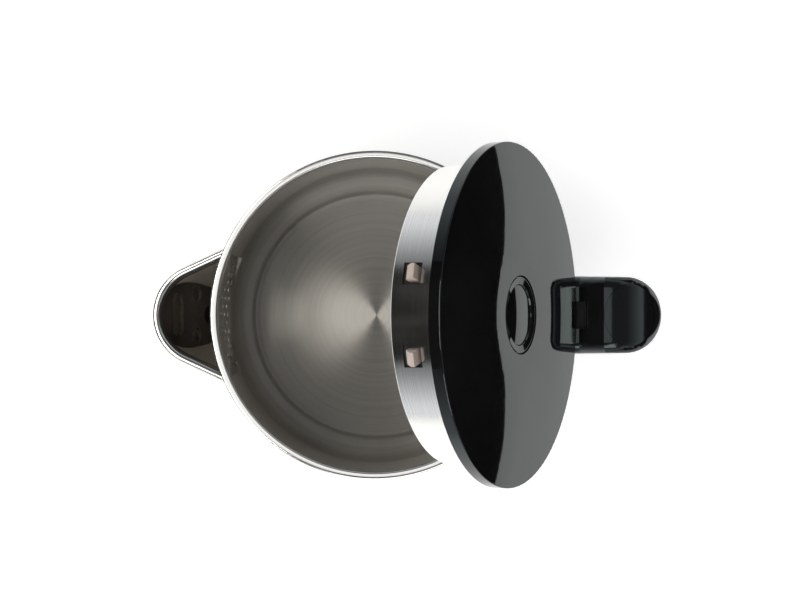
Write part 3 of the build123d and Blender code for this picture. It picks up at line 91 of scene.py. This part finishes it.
class Shader:
    """A new material with one Principled shader, and short ways to add nodes to it."""

    def __init__(self, name, **values):
        self.material = bpy.data.materials.new(name)
        self.material.use_nodes = True
        self.tree = self.material.node_tree
        self.tree.nodes.clear()
        self.bsdf = self.tree.nodes.new("ShaderNodeBsdfPrincipled")
        out = self.tree.nodes.new("ShaderNodeOutputMaterial")
        self.link(self.bsdf.outputs["BSDF"], out.inputs["Surface"])
        for key, value in values.items():
            self.bsdf.inputs[key.replace("_", " ")].default_value = value

    def link(self, source, target):
        self.tree.links.new(source, target)

    def add(self, kind, **settings):
        node = self.tree.nodes.new("ShaderNode" + kind)
        for key, value in settings.items():
            setattr(node, key, value)
        return node

    def place(self):
        """The point's place on the object, in metres."""
        return self.add("TexCoord").outputs["Object"]

    def lid_place(self):
        """The point's place with the lid turned back to its closed position."""
        turn = Euler((0, -LID_OPEN, 0)).to_matrix()
        mapping = self.add("Mapping", vector_type="POINT")
        mapping.inputs["Rotation"].default_value = (0, -LID_OPEN, 0)
        mapping.inputs["Location"].default_value = HINGE - turn @ HINGE
        self.link(self.place(), mapping.inputs["Vector"])
        return mapping.outputs["Vector"]

    def ring_distance(self, place):
        """One number that grows outwards from the Z axis and up it, so its lines run round the axis."""
        parts = self.add("SeparateXYZ")
        self.link(place, parts.inputs[0])
        flat = self.add("CombineXYZ")
        self.link(parts.outputs["X"], flat.inputs["X"])
        self.link(parts.outputs["Y"], flat.inputs["Y"])
        length = self.add("VectorMath", operation="LENGTH")
        self.link(flat.outputs[0], length.inputs[0])
        return self.math("ADD", parts.outputs["Z"], length.outputs["Value"])

    def lines(self, distance, scale, detail=2.0):
        node = self.add("TexNoise", noise_dimensions="1D")
        node.inputs["Scale"].default_value = scale
        node.inputs["Detail"].default_value = detail
        self.link(distance, node.inputs["W"])
        return node.outputs["Fac"]

    def noise(self, place, scale, detail=3.0, roughness=0.55):
        node = self.add("TexNoise", noise_dimensions="3D")
        node.inputs["Scale"].default_value = scale
        node.inputs["Detail"].default_value = detail
        node.inputs["Roughness"].default_value = roughness
        self.link(place, node.inputs["Vector"])
        return node.outputs["Fac"]

    def flattened(self, middle, height):
        """The point on the upright line through middle that is at this height."""
        node = self.add("CombineXYZ")
        node.inputs["X"].default_value = middle.x
        node.inputs["Y"].default_value = middle.y
        self.link(height, node.inputs["Z"])
        return node.outputs[0]

    def stretched(self, place, scale):
        node = self.add("Mapping", vector_type="POINT")
        node.inputs["Scale"].default_value = scale
        self.link(place, node.inputs["Vector"])
        return node.outputs["Vector"]

    def spread(self, value, low, high, start=0.3, end=0.7):
        """value from start..end turned into low..high, held at both ends."""
        node = self.add("MapRange", clamp=True)
        node.inputs["From Min"].default_value = start
        node.inputs["From Max"].default_value = end
        node.inputs["To Min"].default_value = low
        node.inputs["To Max"].default_value = high
        self.link(value, node.inputs["Value"])
        return node.outputs["Result"]

    def math(self, operation, a, b):
        node = self.add("Math", operation=operation)
        for socket, value in zip(node.inputs, (a, b)):
            if isinstance(value, (int, float)):
                socket.default_value = value
            else:
                self.link(value, socket)
        return node.outputs["Value"]

    def blend(self, factor, first, second):
        """Two colours, linked or given as three numbers, mixed by factor."""
        node = self.add("Mix", data_type="RGBA")
        factor_socket, first_socket, second_socket = node.inputs[0], node.inputs[6], node.inputs[7]
        for socket, value in ((first_socket, first), (second_socket, second)):
            if isinstance(value, tuple):
                socket.default_value = (*value, 1)
            else:
                self.link(value, socket)
        self.link(factor, factor_socket)
        return node.outputs[2]

    def bump(self, height, depth, strength=1.0):
        node = self.add("Bump")
        node.inputs["Strength"].default_value = strength
        node.inputs["Distance"].default_value = depth
        self.link(height, node.inputs["Height"])
        return node.outputs["Normal"]

    def set(self, **sources):
        for key, source in sources.items():
            self.link(source, self.bsdf.inputs[key.replace("_", " ")])


# ------------------------------------------------------------------- materials

SPOUT_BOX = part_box("spout")
SPOUT_MIDDLE = (SPOUT_BOX[0] + SPOUT_BOX[1]) / 2
SPOUT_TOP = SPOUT_BOX[1].z
LIP_BAND = 0.006  # height of the polished band inside the spout's edge
# how fine the steel's brushed lines are: the scale of the noise along one metre
FINE_RINGS = 5200
DEEP_RINGS = 430
POLISHED_RINGS = 2600


def spun_steel():
    """Stainless sheet brushed round the upright axis: fine rings, some deeper ones and a little stain."""
    s = Shader("spun_steel", Metallic=1.0, Anisotropic=0.97, Anisotropic_Rotation=0.25)
    place = s.place()
    rings = s.ring_distance(place)
    fine = s.lines(rings, FINE_RINGS, 1.0)
    broad = s.lines(rings, DEEP_RINGS, 3.0)
    stain = s.noise(place, 26, 4.0)
    both = s.math("ADD", s.math("MULTIPLY", fine, 0.74), s.math("MULTIPLY", broad, 0.26))
    base = s.blend(s.spread(both, 0, 1), (0.315, 0.302, 0.279), (0.485, 0.468, 0.434))
    worn = s.blend(s.spread(stain, 0, 0.35, 0.5, 0.75), base, (0.325, 0.296, 0.258))
    s.set(Base_Color=worn, Roughness=s.spread(both, 0.36, 0.46))
    s.set(Normal=s.bump(both, 0.00002, 0.4))
    tangent = s.add("Tangent", direction_type="RADIAL", axis="Z")
    s.set(Tangent=tangent.outputs["Tangent"])
    return s.material


def bright_steel(name, lid=False, rough=(0.05, 0.10)):
    """Polished stainless steel with the ghost of its last brushing and faint wipe marks."""
    s = Shader(name, Metallic=1.0)
    place = s.lid_place() if lid else s.place()
    rings = s.ring_distance(place)
    fine = s.lines(rings, POLISHED_RINGS, 2.0)
    wipe = s.noise(s.stretched(place, (60, 60, 14)), 1.0, 4.0)
    s.set(Base_Color=s.blend(s.spread(fine, 0, 1), (0.75, 0.745, 0.725), (0.88, 0.875, 0.855)))
    marked = s.math("ADD", s.spread(fine, *rough), s.spread(wipe, 0.0, 0.06))
    s.set(Roughness=marked, Normal=s.bump(fine, 0.000008, 0.25))
    return s.material


def spout_steel():
    """Steel that is finely ground outside, and matt inside, where its colour is painted pale beige: painted
    light, brighter than the steel itself.
    """
    s = Shader("spout_steel", Metallic=1.0)
    place = s.place()
    grain = s.noise(place, 1300, 3.0)
    parts = s.add("SeparateXYZ")
    s.link(place, parts.inputs[0])
    outward = s.add("VectorMath", operation="SUBTRACT")
    s.link(place, outward.inputs[0])
    s.link(s.flattened(SPOUT_MIDDLE, parts.outputs["Z"]), outward.inputs[1])
    facing = s.add("VectorMath", operation="DOT_PRODUCT")
    s.link(outward.outputs["Vector"], facing.inputs[0])
    s.link(s.add("TexCoord").outputs["Normal"], facing.inputs[1])
    inner_side = s.math("LESS_THAN", facing.outputs["Value"], 0.0)
    below_band = s.math("LESS_THAN", parts.outputs["Z"], SPOUT_TOP - LIP_BAND)
    inside = s.math("MULTIPLY", inner_side, below_band)
    shine = s.blend(s.spread(grain, 0, 1), (0.50, 0.495, 0.48), (0.61, 0.605, 0.59))
    # the inside's colour is painted pale beige, as painted light
    pale_painted_light = s.blend(s.spread(grain, 0, 1), (0.86, 0.80, 0.70), (0.97, 0.91, 0.80))
    s.set(Base_Color=s.blend(inside, shine, pale_painted_light))
    s.set(Roughness=s.math("ADD", s.spread(grain, 0.20, 0.26), s.math("MULTIPLY", inside, 0.32)))
    s.set(Normal=s.bump(grain, 0.000006, 0.4))
    return s.material


def gloss_black(name, lid=False, rough=(0.03, 0.065)):
    """Black moulded plastic polished like a piano lid, with faint flow, fine dust and wipe marks."""
    s = Shader(name, IOR=1.52, Specular_Tint=(0.86, 1.0, 1.0, 1))
    place = s.lid_place() if lid else s.place()
    flow = s.noise(place, 22, 2.0)
    dust = s.noise(place, 1700, 2.0)
    hair = s.noise(s.stretched(place, (1400, 90, 90)), 1.0, 3.0)
    colour = s.blend(s.spread(flow, 0, 1), (0.0045, 0.0045, 0.005), (0.008, 0.008, 0.0085))
    s.set(Base_Color=s.blend(s.spread(dust, 0, 0.5, 0.74, 0.8), colour, (0.05, 0.05, 0.05)))
    marked = s.math("ADD", s.spread(hair, *rough, 0.55, 0.75), s.spread(dust, 0.0, 0.25, 0.73, 0.8))
    s.set(Roughness=marked, Normal=s.bump(flow, 0.00022, 0.25))
    return s.material


def satin_plastic(name, dark, light, rough, grain=1500):
    """Moulded plastic, or rubber, with a fine spark-eroded grain."""
    s = Shader(name, IOR=1.5)
    place = s.place()
    fine = s.noise(place, grain, 3.0)
    broad = s.noise(place, 45, 3.0)
    s.set(Base_Color=s.blend(s.spread(broad, 0, 1), dark, light))
    s.set(Roughness=s.spread(fine, *rough), Normal=s.bump(fine, 0.00006, 0.5))
    return s.material


def cast_aluminium():
    s = Shader("cast_aluminium", Metallic=1.0)
    place = s.place()
    fine = s.noise(place, 900, 4.0)
    s.set(Base_Color=s.blend(s.spread(fine, 0, 1), (0.55, 0.55, 0.56), (0.76, 0.76, 0.77)))
    s.set(Roughness=s.spread(fine, 0.32, 0.55), Normal=s.bump(fine, 0.0001, 0.6))
    return s.material


def plain_metal(name, dark, light):
    s = Shader(name, Metallic=1.0)
    place = s.place()
    fine = s.noise(s.stretched(place, (500, 500, 2200)), 1.0, 3.0)
    s.set(Base_Color=s.blend(s.spread(fine, 0, 1), dark, light))
    s.set(Roughness=s.spread(fine, 0.2, 0.38), Normal=s.bump(fine, 0.00002, 0.4))
    return s.material


def signal_lens():
    """The small lamp's red lens."""
    s = Shader("signal_lens", IOR=1.49, Transmission_Weight=0.35)
    fine = s.noise(s.place(), 800, 2.0)
    s.set(Base_Color=s.blend(s.spread(fine, 0, 1), (0.42, 0.03, 0.02), (0.55, 0.05, 0.03)))
    s.set(Roughness=s.spread(fine, 0.08, 0.16))
    return s.material


MATERIALS = {
    "brushed_steel": spun_steel(),
    "bright_steel": bright_steel("bright_steel"),
    "gloss_black": gloss_black("gloss_black"),
    "matte_black": satin_plastic("satin_black", (0.016, 0.015, 0.015), (0.028, 0.026, 0.026), (0.34, 0.5)),
    "liner_brown": satin_plastic("liner_brown", (0.034, 0.026, 0.021), (0.056, 0.044, 0.036), (0.26, 0.38)),
    "latch_beige": satin_plastic("latch_beige", (0.52, 0.42, 0.37), (0.62, 0.51, 0.455), (0.4, 0.5)),
    "rubber": satin_plastic("rubber", (0.012, 0.012, 0.012), (0.03, 0.03, 0.03), (0.7, 0.9), 900),
    "aluminium": cast_aluminium(),
    "contact_brass": plain_metal("contact_brass", (0.62, 0.45, 0.2), (0.8, 0.63, 0.33)),
    "plain_steel": plain_metal("plain_steel", (0.42, 0.42, 0.43), (0.62, 0.62, 0.63)),
    "silicone": satin_plastic("silicone", (0.62, 0.61, 0.57), (0.74, 0.73, 0.69), (0.5, 0.65)),
    "wire": satin_plastic("wire", (0.36, 0.03, 0.025), (0.48, 0.06, 0.05), (0.35, 0.5)),
    "lens": signal_lens(),
}
LID_MATERIALS = {
    "bright_steel": bright_steel("bright_steel_lid", lid=True, rough=(0.12, 0.17)),
    "gloss_black": gloss_black("gloss_black_lid", lid=True),
}

HANDLE_BLACK = gloss_black("handle_black", rough=(0.13, 0.19))
NODE_MATERIALS = {
    "spout": spout_steel(),
    "handle_outer": HANDLE_BLACK,
    "handle_cap": HANDLE_BLACK,
}

LID_BODIES = ("lid", "lid_button")
for part in frame["record"]["subparts"]:
    node = NODES[part["node"]]
    finish = part["material_slot"]
    on_lid = node["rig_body"] in LID_BODIES
    chosen = (LID_MATERIALS if on_lid else MATERIALS).get(finish, MATERIALS[finish])
    chosen = NODE_MATERIALS.get(part["node"], chosen)
    for slot in node.material_slots:
        slot.material = chosen


# ----------------------------------------------------- smooth rim and spout lip

ROUND_STEPS = 8  # faces of a quarter round


def skin(name, rows, ring, sharp_angle):
    """A closed steel piece made of equal rows of points: a ring, or a rod with a face at each end."""
    made = bmesh.new()
    rows = [[made.verts.new(point) for point in row] for row in rows]
    following_rows = rows[1:] + rows[:1] if ring else rows[1:]
    for row, following in zip(rows, following_rows):
        for i in range(len(row)):
            j = (i + 1) % len(row)
            made.faces.new((row[i], row[j], following[j], following[i]))
    if not ring:
        made.faces.new(rows[0])
        made.faces.new(rows[-1])
    bmesh.ops.recalc_face_normals(made, faces=made.faces)
    mesh = bpy.data.meshes.new(name)
    made.to_mesh(mesh)
    made.free()
    mesh.shade_smooth()
    mesh.set_sharp_from_angle(angle=math.radians(sharp_angle))
    mesh.materials.append(MATERIALS["bright_steel"])
    piece = bpy.data.objects.new(name, mesh)
    bpy.context.scene.collection.objects.link(piece)
    return piece


RIM_SEGMENTS = 360
RIM_ROUND = 0.00085
SLEEVE_GAP = 0.0009  # from the rim's top down to the edges that it hooks over


def arc(centre, radius, start, end):
    """Points of a quarter arc in the (radius, height) plane, from one angle to the other, in degrees."""
    angles = [math.radians(start + (end - start) * k / ROUND_STEPS) for k in range(ROUND_STEPS + 1)]
    return [(centre[0] + radius * math.cos(a), centre[1] + radius * math.sin(a)) for a in angles]


def rolled_rim():
    """The rim as one smooth ring with the same section as the CAD node."""
    points = [(math.hypot(v.co.x, v.co.y), v.co.z) for v in NODES["rim_ring"].data.vertices]
    inner = min(r for r, z in points)
    outer = max(r for r, z in points)
    top = max(z for r, z in points)
    foot = min(z for r, z in points)
    sleeve = max(r for r, z in points if z < foot + RIM_ROUND)
    skirt_points = [(r, z) for r, z in points if r > (sleeve + outer) / 2]
    skirt_foot = min(z for r, z in skirt_points)
    skirt_inner = min(r for r, z in skirt_points if z < skirt_foot + RIM_ROUND)
    section = [(inner, foot)]
    section += arc((inner + RIM_ROUND, top - RIM_ROUND), RIM_ROUND, 180, 90)
    section += arc((outer - RIM_ROUND, top - RIM_ROUND), RIM_ROUND, 90, 0)
    section += [(outer, skirt_foot), (skirt_inner, skirt_foot), (skirt_inner, top - SLEEVE_GAP)]
    section += [(sleeve, top - SLEEVE_GAP), (sleeve, foot)]
    rows = []
    for k in range(RIM_SEGMENTS):
        angle = 2 * math.pi * k / RIM_SEGMENTS
        rows.append([(r * math.cos(angle), r * math.sin(angle), z) for r, z in section])
    return skin("rolled_rim", rows, ring=True, sharp_angle=40)


rim = rolled_rim()
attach(rim, "kettle")
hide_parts("rim_ring")


SPOUT_TIP_R = 0.024
SPOUT_HALF_ANGLE = math.radians(25)
LIP_HALF_W = 0.0018
LIP_HEIGHT = 0.0015
LIP_ABOVE = 0.0003  # how far the lip's crest stands above the sheet's edge
LIP_STEPS = 64
LIP_REACH = 0.0003  # how far its ends go into the rim


def spout_lip():
    """The sheet's edge as a half-round bead, from the rim round the tip and back to the rim."""
    rim_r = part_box("rim_ring")[1].x - LIP_REACH
    centre = Vector((SPOUT_BOX[0].x + SPOUT_TIP_R, 0.0))
    radius = SPOUT_TIP_R - LIP_HALF_W
    side = Vector((-math.sin(SPOUT_HALF_ANGLE), math.cos(SPOUT_HALF_ANGLE)))
    along = Vector((side.y, -side.x))
    corner = centre + radius * side
    # where the straight side, which starts at the corner, meets the rim's circle
    slope, rest = corner.dot(along), corner.length_squared - rim_r ** 2
    end = corner + (-slope - math.sqrt(slope ** 2 - rest)) * along
    turn = math.pi - 2 * SPOUT_HALF_ANGLE
    path = [(end, side)]
    for k in range(LIP_STEPS + 1):
        angle = math.pi / 2 + SPOUT_HALF_ANGLE + turn * k / LIP_STEPS
        out = Vector((math.cos(angle), math.sin(angle)))
        path.append((centre + radius * out, out))
    path.append((Vector((end.x, -end.y)), Vector((side.x, -side.y))))
    crest = SPOUT_TOP + LIP_ABOVE
    rows = []
    for point, out in path:
        row = []
        for k in range(ROUND_STEPS * 2 + 1):
            angle = math.pi * k / (ROUND_STEPS * 2)
            spot = point + LIP_HALF_W * math.cos(angle) * out
            row.append((spot.x, spot.y, crest - LIP_HEIGHT * (1 - math.sin(angle))))
        rows.append(row)
    return skin("spout_lip", rows, ring=False, sharp_angle=50)


lip = spout_lip()
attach(lip, "kettle")


# ------------------------------------------------------- floor, light, camera

PAINTED_TABLE_EDGE = 0.398  # where the painted reflection of the table ends, to the right of the kettle
PAINTED_TABLE_RANGE = (0.14, 0.34)  # the painted reflection of the table grows paler between these places
PAINTED_TABLE_TONES = (0.42, 0.95)
FLOOR_REACH = 3


def plane(name, low, high, z, material):
    corners = [(low[0], low[1], z), (high[0], low[1], z), (high[0], high[1], z), (low[0], high[1], z)]
    mesh = bpy.data.meshes.new(name)
    mesh.from_pydata(corners, [], [(0, 1, 2, 3)])
    mesh.materials.append(material)
    piece = bpy.data.objects.new(name, mesh)
    bpy.context.scene.collection.objects.link(piece)
    return piece


def backdrop(name, dark, light, **values):
    """A matt material for the staging, with a faint grain between two greys."""
    s = Shader(name, **values)
    grain = s.noise(s.place(), 300, 2.0)
    s.set(Base_Color=s.blend(s.spread(grain, 0, 1), (dark,) * 3, (light,) * 3))
    return s


def paper_white():
    s = backdrop("paper_white", 0.87, 0.89, Roughness=0.9, Specular_IOR_Level=0.1)
    s.bsdf.inputs["Emission Color"].default_value = (1, 1, 1, 1)
    s.bsdf.inputs["Emission Strength"].default_value = 0.64
    return s.material


# black, seen only in reflections: the material of a painted dark reflection
def painted_dark_reflection():
    return backdrop("painted_dark_reflection", 0.0, 0.002, Roughness=1.0, Specular_IOR_Level=0.0).material


def painted_table_reflection():
    """A glowing sheet seen only in reflections: a painted reflection of the table in the lid, paler away
    from the kettle, and dark past its edge.
    """
    s = backdrop("painted_table_reflection", 0.0, 0.002, Roughness=1.0, Specular_IOR_Level=0.0)
    parts = s.add("SeparateXYZ")
    s.link(s.place(), parts.inputs[0])
    painted_tone = s.spread(parts.outputs["X"], *PAINTED_TABLE_TONES, *PAINTED_TABLE_RANGE)
    on_painted_table = s.math("LESS_THAN", parts.outputs["X"], PAINTED_TABLE_EDGE)
    # the glow is the painted reflection
    s.bsdf.inputs["Emission Color"].default_value = (1, 1, 1, 1)
    s.link(s.math("MULTIPLY", painted_tone, on_painted_table), s.bsdf.inputs["Emission Strength"])
    return s.material


far_corner = (FLOOR_REACH, FLOOR_REACH)
plane("floor", (-FLOOR_REACH, -FLOOR_REACH), far_corner, 0.0, paper_white())
# a glowing sheet, seen only in reflections: a painted reflection of the table in the lid
painted_table_sheet = plane("painted_table_sheet", (PAINTED_TABLE_RANGE[0], -FLOOR_REACH), far_corner, 0.0006, painted_table_reflection())

world = bpy.data.worlds.new("studio")
bpy.context.scene.world = world
world.use_nodes = True
background = world.node_tree.nodes["Background"]
background.inputs["Color"].default_value = (0.93, 0.96, 1.0, 1)
# pale walls near the horizon under a dimmer ceiling
direction = world.node_tree.nodes.new("ShaderNodeTexCoord")
height = world.node_tree.nodes.new("ShaderNodeSeparateXYZ")
walls = world.node_tree.nodes.new("ShaderNodeMapRange")
# the direction's Z where the walls end and the ceiling begins, and how bright each is
WALL_Z, CEILING_Z = 0.05, 0.5
WALL_LIGHT, CEILING_LIGHT = 0.85, 0.12
walls.inputs["From Min"].default_value = WALL_Z
walls.inputs["From Max"].default_value = CEILING_Z
walls.inputs["To Min"].default_value = WALL_LIGHT
walls.inputs["To Max"].default_value = CEILING_LIGHT
world.node_tree.links.new(direction.outputs["Generated"], height.inputs[0])
world.node_tree.links.new(height.outputs["Z"], walls.inputs["Value"])
world.node_tree.links.new(walls.outputs["Result"], background.inputs["Strength"])

OBJECT_CENTRE = (CAD_BOX[0] + CAD_BOX[1]) / 2


def softbox(name, place, size, brightness, colour=(1, 1, 1), aim=None):
    """A rectangular lamp at place, facing aim. Its brightness is its face's, where white paper is 1."""
    light = bpy.data.lights.new(name, "AREA")
    light.shape = "RECTANGLE"
    light.size, light.size_y = size
    light.energy = brightness * math.pi * size[0] * size[1]
    light.color = colour
    lamp = bpy.data.objects.new(name, light)
    bpy.context.scene.collection.objects.link(lamp)
    lamp.location = place
    towards = (Vector(aim) if aim else OBJECT_CENTRE) - Vector(place)
    lamp.rotation_euler = towards.to_track_quat("-Z", "Y").to_euler()
    return lamp


softbox("overhead", (0.0, 0.0, 2.4), (1.3, 0.5), 0.95, (1.0, 0.985, 0.965), aim=(0, 0, 0))
softbox("left", (-0.60, 0.0, 2.1), (1.5, 0.35), 11.0, (1.0, 0.975, 0.93), aim=(0, 0, 0.1))
softbox("key", (0.25, -1.6, 1.7), (1.6, 1.0), 3.0, (1.0, 0.99, 0.98))

# a black sheet to the left, seen only in reflections: a painted dark reflection in the lid's skirt
painted_dark_card = plane("painted_dark_card", (-1.0, -1.2), (1.0, 1.2), 0.0, painted_dark_reflection())
painted_dark_card.rotation_euler = (0, math.radians(90), 0)
painted_dark_card.location = (-1.5, 0, 1.3)
# both sheets are seen only in reflections: painted reflections
for mask in (painted_table_sheet, painted_dark_card):
    mask.visible_camera = False
    mask.visible_diffuse = False
    mask.visible_shadow = False
    mask.visible_transmission = False

# straight above the kettle, as far away as a person standing at a table would hold a camera
CAMERA_PLACE = (0.0125, 0.0, 1.79)
LENS_MM, SENSOR_MM = 158.4, 36
SHIFT_X, SHIFT_Y = -0.0025, 0.01875
FAR_LIMIT = 20

camera_data = bpy.data.cameras.new("camera")
camera = bpy.data.objects.new("camera", camera_data)
bpy.context.scene.collection.objects.link(camera)
bpy.context.scene.camera = camera
camera.location = CAMERA_PLACE
camera.rotation_euler = (0, 0, 0)
camera_data.lens = LENS_MM
camera_data.sensor_width = SENSOR_MM
camera_data.shift_x = SHIFT_X
camera_data.shift_y = SHIFT_Y
camera_data.clip_end = FAR_LIMIT

bpy.context.scene.view_settings.view_transform = "Standard"
